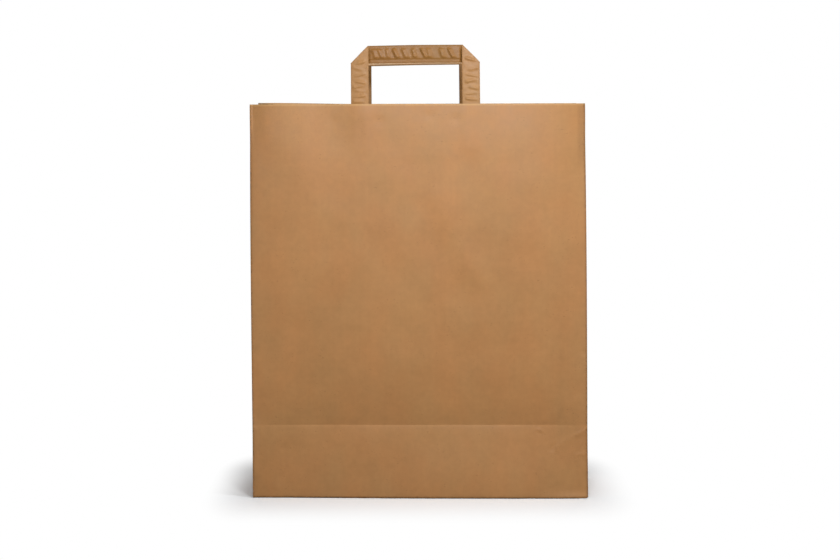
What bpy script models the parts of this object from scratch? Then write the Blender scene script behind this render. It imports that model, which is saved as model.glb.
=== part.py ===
# Paper carrier bag with flat handles, standing open on its block bottom.
# Metres, +Z up, front panel towards -Y, origin in the middle of the base.

import math

import bmesh
import bpy

# Paper
PAPER = 0.0003
GAP = 0.0003

# Bag body
BAG_WIDTH = 0.320
BAG_HEIGHT = 0.376
BASE_DEPTH = 0.140
MOUTH_FOLD_ANGLE = math.radians(36.2)
CREASE_FOLD_ANGLE = math.radians(5.0)
MOUTH_LEAN = -0.0025
FRONT_CREASE_DENT = 0.0020
BACK_CREASE_RIDGE = 0.0010
STIFF_MARGIN = 0.003

# Block bottom
BASE_PLIES = 3
FLAP_OVERLAP = 0.015
FLAP_CORNER_SETBACK = 0.001

# Handles
HANDLE_WIDTH = 0.1222
HANDLE_RISE = 0.0554
STRIP_WIDTH = 0.0168
STRIP_THICKNESS = 0.0006
LEG_TAIL = 0.045
HANDLE_SHIFT = -0.0014

# Patches
PATCH_SIDE_MARGIN = 0.033
PATCH_TOP_DROP = 0.004
PATCH_BELOW_LEGS = 0.008
PATCH_RAMP = 0.002
PATCH_LEG_CLEARANCE = 0.0005

# Fineness of the meshes
BEND_STEPS = 8
LEAF_STEPS = 2
LOWER_ROWS = 4
UPPER_ROWS = 8
PATCH_ROWS = 2

# Kraft paper as the photo shows it, in linear colour
KRAFT_BODY = (0.434, 0.220, 0.093)
KRAFT_HANDLE = (0.465, 0.260, 0.118)
KRAFT_PATCH = (0.400, 0.205, 0.088)

# Sizes that follow from the folding
HALF_DEPTH = BASE_DEPTH / 2
CREASE_HEIGHT = HALF_DEPTH
IMPRINT_HEIGHT = 2 * CREASE_HEIGHT
FLOOR = BASE_PLIES * PAPER
FOLD_AT_CREASE = HALF_DEPTH * math.sin(CREASE_FOLD_ANGLE)
FOLD_AT_MOUTH = HALF_DEPTH * math.sin(MOUTH_FOLD_ANGLE)
STIFF_HALF = HANDLE_WIDTH / 2 + abs(HANDLE_SHIFT) + STIFF_MARGIN
BEND_LENGTH = BAG_WIDTH / 2 - STIFF_HALF


def lean(z):
    """How far the bag stands to the side at height z, none at the folded base."""
    return MOUTH_LEAN * max(0.0, z - FLOOR) / (BAG_HEIGHT - FLOOR)


def rise(z):
    """Share of the way from the floor up to the crease, at most 1."""
    return min(1.0, max(0.0, (z - FLOOR) / (CREASE_HEIGHT - FLOOR)))


def climb(z):
    """Share of the way from the crease up to the mouth, at least 0."""
    return max(0.0, (z - CREASE_HEIGHT) / (BAG_HEIGHT - CREASE_HEIGHT))


def gusset_fold(z):
    """How far the middle of a gusset lies inside the bag's corners."""
    return FOLD_AT_CREASE * rise(z) + (FOLD_AT_MOUTH - FOLD_AT_CREASE) * climb(z)


def corner_depth(z):
    """Distance of a side fold from the bag's middle plane."""
    return math.sqrt(HALF_DEPTH**2 - gusset_fold(z) ** 2)


def half_width(z):
    """Half of the width over the side folds, less what the bent panel takes up."""
    sink = HALF_DEPTH - corner_depth(z)
    return BAG_WIDTH / 2 - 2 / 3 * sink**2 / BEND_LENGTH


def crease_share(z):
    """1 at the crease, falling to 0 at the floor and at the imprint of the folded base."""
    if z < CREASE_HEIGHT:
        return rise(z)
    return max(0.0, 1 - (z - CREASE_HEIGHT) / (IMPRINT_HEIGHT - CREASE_HEIGHT))


def panel_depth(x, z, outward):
    """Distance of a panel's outer face from the middle plane; outward is its shape at the crease."""
    middle = HALF_DEPTH + outward * crease_share(z)
    bend = max(0.0, (abs(x) - STIFF_HALF) / (half_width(z) - STIFF_HALF))
    return middle - (middle - corner_depth(z)) * bend**2


def panel_columns(z):
    """The x places along a panel, from the left side fold to the right one."""
    step = (half_width(z) - STIFF_HALF) / BEND_STEPS
    right = [STIFF_HALF + step * k for k in range(BEND_STEPS + 1)]
    return [-x for x in reversed(right)] + right


def right_gusset(z):
    """Points of the right gusset from the front side fold to the back one, and how far each is folded in."""
    corner_x = half_width(z)
    corner_y = corner_depth(z)
    if z < CREASE_HEIGHT:
        fold_y = corner_y * (1 - rise(z))
    else:
        fold_y = 0.0
    fold_x = corner_x - gusset_fold(z)
    front = []
    for k in range(1, LEAF_STEPS + 1):
        share = k / LEAF_STEPS
        x = corner_x + (fold_x - corner_x) * share
        y = -corner_y + (corner_y - fold_y) * share
        front.append((x, y, share))
    back = [(x, -y, share) for x, y, share in reversed(front)]
    return front + back


def outline(z):
    """Points around the bag at height z, seen from above and counterclockwise: x, y, share folded in."""
    columns = panel_columns(z)
    front = [(x, -panel_depth(x, z, -FRONT_CREASE_DENT), 0.0) for x in columns]
    back = [(x, panel_depth(x, z, BACK_CREASE_RIDGE), 0.0) for x in reversed(columns)]
    right = right_gusset(z)
    left = [(-x, -y, share) for x, y, share in right]
    return front + right + back + left


def together(a, b):
    """Whether two outline points fall on the same place."""
    return math.dist(a[:2], b[:2]) < PAPER / 10


def inset(points, distance):
    """The outline moved inwards by the paper's thickness, with mitred corners."""
    count = len(points)
    moved = []
    for k, (x, y, share) in enumerate(points):
        before = next(points[k - j] for j in range(1, count) if not together(points[k - j], (x, y)))
        after = next(p for j in range(1, count) if not together(p := points[(k + j) % count], (x, y)))
        normals = []
        for a, b in ((before, (x, y)), ((x, y), after)):
            length = math.dist(a[:2], b[:2])
            normals.append(((a[1] - b[1]) / length, (b[0] - a[0]) / length))
        sum_x = normals[0][0] + normals[1][0]
        sum_y = normals[0][1] + normals[1][1]
        scale = 2 * distance / (sum_x**2 + sum_y**2)
        moved.append((x + sum_x * scale, y + sum_y * scale, share))
    return moved


def body_heights():
    """Heights of the rows of points from the floor to the mouth."""
    lower = [FLOOR + (CREASE_HEIGHT - FLOOR) * k / LOWER_ROWS for k in range(LOWER_ROWS + 1)]
    span = BAG_HEIGHT - IMPRINT_HEIGHT
    upper = [IMPRINT_HEIGHT + span * k / UPPER_ROWS for k in range(UPPER_ROWS + 1)]
    between = (CREASE_HEIGHT + IMPRINT_HEIGHT) / 2
    return lower + [between] + upper


def crease_dip():
    """How much lower a gusset's slanted middle fold ends than the side folds."""
    length = BAG_HEIGHT - CREASE_HEIGHT
    travel = FOLD_AT_MOUTH - FOLD_AT_CREASE
    return length - math.sqrt(length**2 - travel**2)


class Builder:
    """Collects faces whose corners are shared by place, and makes one closed, leaning object of them."""

    def __init__(self):
        self.places = {}
        self.faces = {}

    def corner(self, x, y, z):
        place = (x + lean(z), y, z)
        key = tuple(round(value, 7) for value in place)
        return self.places.setdefault(key, (len(self.places), place))[0]

    def face(self, corners):
        """Adds a face, smaller where corners fall together. Given twice, it lies inside and is left out."""
        numbers = list(dict.fromkeys(self.corner(*corner) for corner in corners))
        key = frozenset(numbers)
        if key in self.faces:
            del self.faces[key]
        elif len(numbers) > 2:
            self.faces[key] = numbers

    def finish(self, name, colour, smooth_angle=30):
        bm = bmesh.new()
        verts = [bm.verts.new(place) for _, place in self.places.values()]
        for numbers in self.faces.values():
            bm.faces.new([verts[k] for k in numbers])
        bmesh.ops.recalc_face_normals(bm, faces=bm.faces)
        mesh = bpy.data.meshes.new(name)
        bm.to_mesh(mesh)
        bm.free()
        mesh.shade_smooth()
        mesh.set_sharp_from_angle(angle=math.radians(smooth_angle))
        piece = bpy.data.objects.new(name, mesh)
        bpy.context.scene.collection.objects.link(piece)
        if colour:
            mesh.materials.append(paper_material(name, colour))
        return piece


def paper_material(name, colour):
    material = bpy.data.materials.new(name + "_paper")
    material.use_nodes = True
    shader = material.node_tree.nodes["Principled BSDF"]
    shader.inputs["Base Color"].default_value = (*colour, 1)
    shader.inputs["Roughness"].default_value = 0.85
    shader.inputs["Metallic"].default_value = 0.0
    return material


def placed(points, z):
    """An outline's points in space, lowered where the gusset is folded in."""
    drop = crease_dip() * climb(z)
    return [(x, y, z - drop * share) for x, y, share in points]


def body_rows():
    """Rows of points of the outer and the inner face, from the base up."""
    heights = body_heights()
    outer = [[(x, y, 0.0) for x, y, share in outline(FLOOR)]]
    outer += [placed(outline(z), z) for z in heights]
    inner = [placed(inset(outline(z), PAPER), z) for z in heights]
    return outer, inner


def add_base_strips(builder, row):
    """Closes a row of points with strips that run from the front panel to the back one."""
    count = len(panel_columns(FLOOR))
    gusset = 2 * LEAF_STEPS
    back = row[count + gusset : 2 * count + gusset][::-1]
    for k in range(count - 1):
        builder.face([row[k], row[k + 1], back[k + 1], back[k]])


def make_body():
    builder = Builder()
    outer, inner = body_rows()
    count = len(outer[0])
    for rows in (outer, inner):
        for lower, upper in zip(rows[:-1], rows[1:]):
            for k in range(count):
                after = (k + 1) % count
                builder.face([lower[k], lower[after], upper[after], upper[k]])
        add_base_strips(builder, rows[0])
    for k in range(count):
        after = (k + 1) % count
        builder.face([outer[-1][k], outer[-1][after], inner[-1][after], inner[-1][k]])
    return builder.finish("bag_body", KRAFT_BODY)


def make_cutter(name, footprint, top):
    """A block with the given footprint that reaches from below the base up to top."""
    builder = Builder()
    bottom = -FLOOR
    count = len(footprint)
    builder.face([(x, y, bottom) for x, y in footprint])
    builder.face([(x, y, top) for x, y in footprint])
    for k in range(count):
        a = footprint[k]
        b = footprint[(k + 1) % count]
        builder.face([(*a, bottom), (*b, bottom), (*b, top), (*a, top)])
    cutter = builder.finish(name, None)
    cutter.hide_render = True
    cutter.display_type = "WIRE"
    return cutter


def cut_base_folds(body):
    """Leaves the outer flap lowest, the inner flap one ply higher and the end triangles two."""
    reach = STRIP_WIDTH
    side = BAG_WIDTH / 2 + reach
    apex = BAG_WIDTH / 2 - HALF_DEPTH + FLAP_CORNER_SETBACK
    flap_corner = apex - FLAP_OVERLAP
    step = [
        (-side, apex - side),
        (-flap_corner, FLAP_OVERLAP),
        (flap_corner, FLAP_OVERLAP),
        (side, apex - side),
        (side, HALF_DEPTH + reach),
        (-side, HALF_DEPTH + reach),
    ]
    right_end = [(apex, 0.0), (side, apex - side), (side, side - apex)]
    left_end = [(-x, -y) for x, y in right_end]
    cutters = [
        make_cutter("cut_flap_step", step, PAPER),
        make_cutter("cut_right_end", right_end, 2 * PAPER),
        make_cutter("cut_left_end", left_end, 2 * PAPER),
    ]
    for cutter in cutters:
        cut = body.modifiers.new(cutter.name, "BOOLEAN")
        cut.operation = "DIFFERENCE"
        cut.solver = "EXACT"
        cut.object = cutter


def handle_cells():
    """The strip's stretches as flat shapes in x and z, each with the layer that it lies in."""
    top = BAG_HEIGHT + HANDLE_RISE
    fold = top - STRIP_WIDTH
    tail = BAG_HEIGHT - LEG_TAIL
    outside = HANDLE_WIDTH / 2
    inside = outside - STRIP_WIDTH
    cells = []
    for side in (-1, 1):
        leg = [(side * outside, tail), (side * inside, tail), (side * inside, fold), (side * outside, fold)]
        turn = [(side * outside, fold), (side * inside, fold), (side * inside, top)]
        cells += [(leg, 0), (turn, 0), (turn, 1)]
    bar = [(-inside, fold), (inside, fold), (inside, top), (-inside, top)]
    cells.append((bar, 1))
    return [([(x + HANDLE_SHIFT, z) for x, z in shape], layer) for shape, layer in cells]


def make_handle(name, panel_side):
    """Legs in the layer next to the panel, crossbar in the layer behind them."""
    builder = Builder()
    for shape, layer in handle_cells():
        depth = HALF_DEPTH - PAPER - GAP - layer * STRIP_THICKNESS
        near = panel_side * depth
        far = panel_side * (depth - STRIP_THICKNESS)
        builder.face([(x, near, z) for x, z in shape])
        builder.face([(x, far, z) for x, z in shape])
        for k in range(len(shape)):
            ax, az = shape[k]
            bx, bz = shape[(k + 1) % len(shape)]
            builder.face([(ax, near, az), (bx, near, bz), (bx, far, bz), (ax, far, az)])
    return builder.finish(name, KRAFT_HANDLE)


def patch_profile():
    """Places across a patch and how far each stands off the panel, which it does over the legs."""
    lifted = STRIP_THICKNESS + GAP
    edge = HANDLE_WIDTH / 2 + PATCH_SIDE_MARGIN
    outer_foot = HANDLE_WIDTH / 2 + PATCH_LEG_CLEARANCE + PATCH_RAMP
    inner_foot = HANDLE_WIDTH / 2 - STRIP_WIDTH - PATCH_LEG_CLEARANCE - PATCH_RAMP
    half = [(inner_foot, 0.0), (inner_foot + PATCH_RAMP, lifted)]
    half += [(outer_foot - PATCH_RAMP, lifted), (outer_foot, 0.0)]
    half += [(outer_foot + (edge - outer_foot) * k / BEND_STEPS, 0.0) for k in range(1, BEND_STEPS + 1)]
    left = [(-x, lift) for x, lift in reversed(half)]
    return [(x + HANDLE_SHIFT, lift) for x, lift in left + half]


def make_patch(name, panel_side):
    builder = Builder()
    top = BAG_HEIGHT - PATCH_TOP_DROP
    bottom = BAG_HEIGHT - LEG_TAIL - PATCH_BELOW_LEGS
    rows = []
    for k in range(PATCH_ROWS + 1):
        z = bottom + (top - bottom) * k / PATCH_ROWS
        near = []
        far = []
        for x, lift in patch_profile():
            depth = panel_depth(x, z, 0.0) - PAPER - GAP - lift
            near.append((x, panel_side * depth, z))
            far.append((x, panel_side * (depth - PAPER), z))
        rows.append(near + far[::-1])
    count = len(rows[0])
    for lower, upper in zip(rows[:-1], rows[1:]):
        for k in range(count):
            after = (k + 1) % count
            builder.face([lower[k], lower[after], upper[after], upper[k]])
    for row in (rows[0], rows[-1]):
        for k in range(count // 2 - 1):
            builder.face([row[k], row[k + 1], row[count - 2 - k], row[count - 1 - k]])
    return builder.finish(name, KRAFT_PATCH)


def main():
    for old in list(bpy.data.objects):
        bpy.data.objects.remove(old)
    cut_base_folds(make_body())
    make_handle("front_handle", -1)
    make_handle("rear_handle", 1)
    make_patch("front_handle_patch", -1)
    make_patch("rear_handle_patch", 1)


main()
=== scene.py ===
# Kraft paper carrier bag: the looks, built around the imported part
import math

import bmesh
import bpy
import numpy as np
from mathutils import Matrix, Vector


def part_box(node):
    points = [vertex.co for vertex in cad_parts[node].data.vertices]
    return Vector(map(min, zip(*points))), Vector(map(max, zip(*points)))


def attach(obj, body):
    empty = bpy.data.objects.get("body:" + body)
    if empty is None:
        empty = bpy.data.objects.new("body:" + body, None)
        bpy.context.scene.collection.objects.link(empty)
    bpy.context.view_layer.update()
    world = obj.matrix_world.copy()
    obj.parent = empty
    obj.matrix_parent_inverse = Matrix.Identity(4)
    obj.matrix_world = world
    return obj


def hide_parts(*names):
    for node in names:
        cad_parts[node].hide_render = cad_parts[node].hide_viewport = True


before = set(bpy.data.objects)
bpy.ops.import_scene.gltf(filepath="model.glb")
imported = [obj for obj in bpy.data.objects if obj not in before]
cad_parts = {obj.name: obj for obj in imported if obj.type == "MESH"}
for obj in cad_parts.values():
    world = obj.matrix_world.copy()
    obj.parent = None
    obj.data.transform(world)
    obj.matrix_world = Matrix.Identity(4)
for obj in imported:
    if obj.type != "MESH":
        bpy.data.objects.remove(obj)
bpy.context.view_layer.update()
scene = bpy.context.scene
print("the packed part is loaded")


# Camera, straight in front of the bag at the height of its mouth

camera = {
    "lens": 92.04,  # mm on a 36 mm sensor
    "place": (-0.00475, -2.103, 0.3789),
    "turn": -1.5,  # degrees, to the left below 0
    "dip": 4.764,  # degrees downwards
    "roll": -0.206,
    "shift": 0.0728,
}


def makeCamera():
    turn = math.radians(camera["turn"])
    dip = math.radians(camera["dip"])
    roll = math.radians(camera["roll"])
    ahead = Vector((math.sin(turn) * math.cos(dip), math.cos(turn) * math.cos(dip), -math.sin(dip)))
    level = Vector((math.cos(turn), -math.sin(turn), 0))
    upright = level.cross(ahead)
    right = level * math.cos(roll) + upright * math.sin(roll)
    up = upright * math.cos(roll) - level * math.sin(roll)
    data = bpy.data.cameras.new("camera")
    data.lens = camera["lens"]
    data.shift_x = camera["shift"]
    rig = bpy.data.objects.new("camera", data)
    scene.collection.objects.link(rig)
    axes = Matrix((right, up, -ahead)).transposed()
    rig.matrix_world = Matrix.Translation(camera["place"]) @ axes.to_4x4()
    scene.camera = rig


makeCamera()
print("camera set")


# Small helpers for shapes

def smooth(low, high, value):
    share = np.clip((value - low) / (high - low), 0, 1)
    return share * share * (3 - 2 * share)


def line(distance, width):  # 1 on a line, fading to both sides
    return np.exp(-((distance / width) ** 2))


def bell(x, z, place, size):  # 1 at a place, fading around it
    return np.exp(-(((x - place[0]) / size[0]) ** 2) - ((z - place[1]) / size[1]) ** 2)


def ridge(x, z, start, end, width):  # soft line from start to end
    along = np.array(end) - np.array(start)
    length = np.hypot(*along)
    along = along / length
    run = (x - start[0]) * along[0] + (z - start[1]) * along[1]
    off = (z - start[1]) * along[0] - (x - start[0]) * along[1]
    beyond = run - np.clip(run, 0, length)
    return np.exp(-(off**2 + beyond**2) / width**2)


def waves(x, z, length, seed, count=8):  # slow uneven swells, mostly between -1 and 1
    draw = np.random.default_rng(seed)
    total = 0
    for _ in range(count):
        angle = draw.uniform(0, math.pi)
        pitch = 2 * math.pi / (length * draw.uniform(0.7, 1.7))
        total = total + np.sin((x * math.cos(angle) + z * math.sin(angle)) * pitch + draw.uniform(0, 6.3))
    return total / math.sqrt(count)


def spaced(length, fine, step, growth=1.55):  # places from 0 to length, close together near both ends
    near = [0.0]
    gap = fine
    while gap < step and near[-1] + gap < length / 2:
        near.append(near[-1] + gap)
        gap *= growth
    middle = length - 2 * near[-1]
    count = max(1, round(middle / step))
    inner = [near[-1] + middle * k / count for k in range(1, count)]
    return np.array(near + inner + [length - place for place in reversed(near)])


def meshPiece(name, places, faces, sharpAngle=None, **values):  # values are one number for each vertex
    mesh = bpy.data.meshes.new(name)
    mesh.from_pydata([tuple(map(float, place)) for place in places], [], faces)
    mesh.update()
    for key, numbers in values.items():
        column = mesh.attributes.new(key, "FLOAT", "POINT")
        column.data.foreach_set("value", np.asarray(numbers, dtype=np.float32))
    tidy = bmesh.new()
    tidy.from_mesh(mesh)
    bmesh.ops.recalc_face_normals(tidy, faces=tidy.faces)
    tidy.to_mesh(mesh)
    tidy.free()
    mesh.shade_smooth()
    if sharpAngle:
        mesh.set_sharp_from_angle(angle=math.radians(sharpAngle))
    piece = bpy.data.objects.new(name, mesh)
    scene.collection.objects.link(piece)
    return piece


def ringFaces(rows, around, first=0):  # quads between closed rings of points
    faces = []
    for row in range(rows - 1):
        low = first + row * around
        for k in range(around):
            after = (k + 1) % around
            faces.append((low + k, low + after, low + around + after, low + around + k))
    return faces


# Bag body: one folded sheet with two V gussets and a block bottom

bag = {
    "width": 0.320,
    "height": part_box("bag_body")[1][2],
    "halfDepth": 0.070,
    "creaseHeight": 0.070,
    "imprintHeight": 0.140,
    "mouthFold": 36.2,  # degrees that the gussets are folded in at the mouth
    "creaseFold": 5.0,
    "frontDent": 0.0038,  # how far the front sinks in at its crease
    "backRidge": 0.0010,
    "dentPower": 2.5,
    "lipLength": 0.0065,  # the steep part just below the crease
    "lipFront": 0.31,  # its share of the dent
    "lipAcross": (-0.10, -0.02),  # it gets stronger to the right
    "lipCorner": (0.148, 0.156),
    "lipBack": 0.20,
    "baseBow": 0.0040,  # how far the front's lower edge bows forward
    "bowAcross": (-0.165, 0.03),
    "baseFlare": 0.0005,
    "mouthFlare": 0.0006,
    "mouthZone": (0.335, 0.376),
    "gussetBow": 0.0016,
    "gussetRough": 0.0005,
    "gussetRoughLength": 0.12,
    "stiffHalf": 0.0655,  # the handles keep this much of the mouth flat
    "bendPower": 3.2,  # how late the panels bend towards the gussets
    "lean": -0.0025,  # sideways at the mouth
    "paper": 0.00025,
    "ply": 0.0003,  # one layer of the base
    "plyReach": 0.006,
    "floor": 0.0009,  # the lowest level inside
    "baseRadius": 0.0013,
    "baseLap": 0.015,
    "apexPast": 0.001,  # the end triangles' tips
    "rearRimLift": 0.0013,  # the back's left corner stands higher
    "rimWidth": 0.0020,
    "frontStep": 0.0032,  # the meshes' steps, wide in the middle and fine at folds
    "backStep": 0.0052,
    "gussetStep": 0.0052,
    "rowStep": 0.0029,
    "foldStep": 0.00045,
    "cornerStep": 0.00030,
    "splitOver": 0.0012,  # wider steps are halved where the small marks are
    "markPlaces": (0.108, 0.158),
    "markHeights": (0.038, 0.070),
}
foldAtCrease = bag["halfDepth"] * math.sin(math.radians(bag["creaseFold"]))
foldAtMouth = bag["halfDepth"] * math.sin(math.radians(bag["mouthFold"]))


def lean(z):
    return bag["lean"] * np.clip(z - bag["floor"], 0, None) / (bag["height"] - bag["floor"])


def rise(z):  # 0 at the floor, 1 at the crease and above
    return np.clip((z - bag["floor"]) / (bag["creaseHeight"] - bag["floor"]), 0, 1)


def climb(z):  # 0 at the crease, 1 at the mouth
    return np.clip((z - bag["creaseHeight"]) / (bag["height"] - bag["creaseHeight"]), 0, None)


def gussetFold(z):
    return foldAtCrease * rise(z) + (foldAtMouth - foldAtCrease) * climb(z)


def cornerDepth(z):
    return np.sqrt(bag["halfDepth"] ** 2 - gussetFold(z) ** 2)


def halfWidth(z):
    bendLength = bag["width"] / 2 - bag["stiffHalf"]
    narrower = 2 / 3 * (bag["halfDepth"] - cornerDepth(z)) ** 2 / bendLength
    low = bag["baseFlare"] * smooth(bag["creaseHeight"], 0, z)
    high = bag["mouthFlare"] * smooth(*bag["mouthZone"], z)
    return bag["width"] / 2 - narrower + (low + high)


def creaseProfile(z, lip):  # share of the dent at height z, with a steep lip just below the crease
    reach = bag["imprintHeight"] - bag["creaseHeight"]
    above = np.clip(1 - (z - bag["creaseHeight"]) / reach, 0, 1) ** bag["dentPower"]
    below = rise(z) * (1 - lip) + lip * np.exp(-np.clip(bag["creaseHeight"] - z, 0, None) / bag["lipLength"])
    return np.where(z > bag["creaseHeight"], above, below)


def panelDepth(x, z, outward):  # distance of a panel's face from the bag's middle plane
    middle = bag["halfDepth"] + outward
    bend = np.clip((np.abs(x) - bag["stiffHalf"]) / (halfWidth(z) - bag["stiffHalf"]), 0, None)
    return middle - (middle - cornerDepth(z)) * bend ** bag["bendPower"]


# The panels' unevenness, in metres, outwards

swell = {
    "slow": 0.00055,  # long soft swells
    "slowLength": 0.17,
    "slowFoot": (0, 0.05),
    "slowMouth": (0.33, 0.376),
    "slowSides": (0.10, 0.155),
    "cockle": 0.00010,  # the sheet's small unevenness
    "cockleLength": 0.040,
    "legPrint": 0.00022,  # the glued legs and patches show through
    "legEdge": (0.0105, 0.0075),
    "legHeight": (0.327, 0.335),
    "patchPrint": 0.00010,
    "patchEdge": (0.097, 0.092),
    "patchHeight": (0.320, 0.326),
    "printFade": (0.377, 0.366),  # fainter at the very mouth
    "legPush": 0.0007,  # the left leg pushes the mouth outwards
    "pushAcross": (-0.054, 0.010),
    "pushHeight": (0.352, 0.378),
    "dimple": -0.00035,
    "dimpleSize": (0.0045, 0.0040),
    "mouthWave": 0.0009,  # the mouth sinks in on both sides of the handle
    "waveHeight": (0.27, 0.36),
    "leftCurl": 0.0032,  # the left part of the mouth leans back
    "curlFrom": 0.305,
    "curlAcross": (-0.055, -0.100),
    "nick": 0.0004,  # at the side folds, where the gussets' creases end
    "nickAcross": 0.158,
    "nickSize": (0.006, 0.0022),
    "footFlare": 0.0016,  # the right end of the lower edge stands out
    "footAcross": (0.105, 0.150),
    "footHeight": 0.0072,
    "stripBlend": 0.035,  # from a turned strip into the panel
    "stripRise": 0.028,  # a turned strip's soft beginning
    "stripSoft": 0.0004,
    # painted shade on the turned strips, which face away from the light
    "stripShade": 0.30,
    "paintedHighlight": 1.0,  # a painted highlight, paler at the front's top left
    "highlightHeight": (0.322, 0.374),
    "highlightAcross": (-0.075, -0.120),
    "highlightFold": (0.0012, 0.0040),  # the fold itself stays dark
}
hollows = [(-0.080, 0.021, 1.0), (0.108, 0.022, 0.45)]  # place, width and share of the mouth's wave
turnedStrips = [  # side, width, height and where each begins
    (-1, 0.0135, 0.0014, 0.322),
    (1, 0.0072, 0.0012, 0.308),
]
dimples = [(-0.079, 0.360), (-0.035, 0.360), (0.012, 0.365), (0.036, 0.362)]
frontMarks = [  # start, end, width and height of folds and dents pressed into the front
    ((0.0200, 0.2860), (0.0540, 0.2140), 0.0110, 0.00045),
    ((0.0040, 0.2800), (0.0340, 0.2050), 0.0120, -0.00022),
    ((0.1135, 0.0660), (0.1160, 0.0640), 0.0012, 0.00035),
    ((0.1135, 0.0630), (0.1170, 0.0615), 0.0012, -0.00025),
    ((0.1260, 0.0465), (0.1290, 0.0515), 0.0017, -0.00050),
    ((0.1300, 0.0520), (0.1310, 0.0460), 0.0013, 0.00025),
    ((0.1310, 0.0500), (0.1520, 0.0620), 0.0026, 0.00018),
    ((0.1500, 0.0610), (0.1590, 0.0665), 0.0015, 0.00045),
    ((0.1520, 0.0570), (0.1590, 0.0600), 0.0018, -0.00018),
    ((0.1180, 0.0750), (0.1500, 0.0940), 0.0045, 0.00030),
    ((0.1415, 0.0740), (0.1440, 0.0820), 0.0018, 0.00022),
    ((-0.1570, 0.0780), (-0.1500, 0.0960), 0.0060, -0.00060),
    ((-0.1350, 0.0180), (-0.1280, 0.0460), 0.0060, -0.00050),
    ((-0.1070, 0.0360), (-0.1040, 0.0290), 0.0012, 0.00025),
    ((-0.1590, 0.0220), (-0.1590, 0.0660), 0.0028, 0.00060),
    ((0.1490, 0.0415), (0.1580, 0.0430), 0.0011, 0.00040),
]
backSeam = {"place": 0.118, "overlap": 0.022, "step": 0.00022, "ramp": 0.0007, "outerRamp": 0.004}


def slowSwell(x, z, side):  # shared by a panel and all that is glued to it
    free = smooth(*swell["slowFoot"], z) * (1 - 0.6 * smooth(*swell["slowMouth"], z))
    inner = 1 - smooth(*swell["slowSides"], np.abs(x))
    out = swell["slow"] * waves(x, z, swell["slowLength"], 11 + side) * free * (0.35 + 0.65 * inner)
    if side < 0:
        hollow = sum(share * line(x - place, width) for place, width, share in hollows)
        out = out - swell["mouthWave"] * hollow * smooth(*swell["waveHeight"], z)
        curl = np.clip(z - swell["curlFrom"], 0, None) / (bag["height"] - swell["curlFrom"])
        out = out - swell["leftCurl"] * curl**2 * smooth(*swell["curlAcross"], x)
    return out


def turnedEdges(x, z):  # the front's outermost strips turn away from faint upright lines near the mouth
    out = 0
    for side, width, height, lowest in turnedStrips:
        fromFold = halfWidth(z) - side * x
        ramp = np.clip(fromFold / width, 0, 1) * smooth(width + swell["stripBlend"], width, fromFold)
        out = out + height * ramp * smooth(lowest, lowest + swell["stripRise"], z)
    return out


def gluedPrints(x, z):  # what the legs and the patch press through a panel
    fromLeg = np.abs(np.abs(x - strip["shift"]) - (strip["outside"] - strip["width"]) / 2)
    legs = smooth(*swell["legEdge"], fromLeg) * smooth(*swell["legHeight"], z)
    patches = smooth(*swell["patchEdge"], np.abs(x)) * smooth(*swell["patchHeight"], z)
    return swell["legPrint"] * legs + swell["patchPrint"] * patches


def frontRelief(x, z):
    out = gluedPrints(x, z) * (0.4 + 0.6 * smooth(*swell["printFade"], z))
    middle, width = swell["pushAcross"]
    out = out + swell["legPush"] * line(x - middle, width) * smooth(*swell["pushHeight"], z)
    for place in dimples:
        out = out + swell["dimple"] * bell(x, z, place, swell["dimpleSize"])
    out = out + swell["cockle"] * waves(x, z, swell["cockleLength"], 23)
    for start, end, width, height in frontMarks:
        out = out + height * ridge(x, z, start, end, width)
    nick = bell(np.abs(x), z, (swell["nickAcross"], bag["imprintHeight"]), swell["nickSize"])
    foot = smooth(*swell["footAcross"], x) * np.clip(1 - z / swell["footHeight"], 0, None)
    return out - swell["nick"] * nick + swell["footFlare"] * foot


def backRelief(x, z):
    right = backSeam["place"]
    left = right - backSeam["overlap"]
    seam = smooth(left, left + backSeam["ramp"], x) * smooth(right + backSeam["outerRamp"], right, x)
    out = backSeam["step"] * seam + gluedPrints(x, z)
    return out + swell["cockle"] * waves(x, z, swell["cockleLength"], 37)


def panelPoints(shares, z, side):
    x = shares * halfWidth(z)
    if side < 0:
        stronger = 0.65 + 0.35 * smooth(*bag["lipAcross"], x) + 0.5 * smooth(*bag["lipCorner"], x)
        lip = bag["lipFront"] * stronger
        bow = smooth(*bag["bowAcross"], x) * smooth(bag["creaseHeight"], 0.0, z)
        outward = bag["baseBow"] * bow - bag["frontDent"] * creaseProfile(z, lip) + turnedEdges(x, z)
        relief = frontRelief(x, z)
    else:
        outward = bag["backRidge"] * creaseProfile(z, bag["lipBack"])
        relief = backRelief(x, z)
    still = smooth(1.0, 0.985, np.abs(shares))  # the side folds stay straight
    depth = panelDepth(x, z, outward) + relief * (0.25 + 0.75 * still) + slowSwell(x, z, side) * still
    return x, side * depth, z + 0 * x


def gussetPoints(shares, z, side, seed):  # shares run from -1 at the front fold to 1 at the rear one
    inward = np.sqrt((1 - np.abs(shares)) ** 2 + 0.00002)  # the middle fold is a little round
    folded = foldAtCrease * rise(z) * np.minimum(1, inward / np.maximum(rise(z), 0.001))
    upper = gussetFold(z) * inward
    depthIn = np.where(z < bag["creaseHeight"], folded, upper)
    bow = np.sin(math.pi * inward) * climb(z) * (1 - 0.5 * climb(z))
    uneven = waves(shares * bag["halfDepth"], z, bag["gussetRoughLength"], seed)
    rough = bag["gussetRough"] * uneven * smooth(0, 0.1, inward) * smooth(0, 0.1, 1 - inward)
    x = halfWidth(z) - depthIn + bag["gussetBow"] * bow + rough * smooth(0.0, 0.06, z)
    y = shares * cornerDepth(z)
    travel = foldAtMouth - foldAtCrease
    length = bag["height"] - bag["creaseHeight"]
    drop = (length - math.sqrt(length**2 - travel**2)) * climb(z)
    return side * x, y, z - drop * inward


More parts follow.
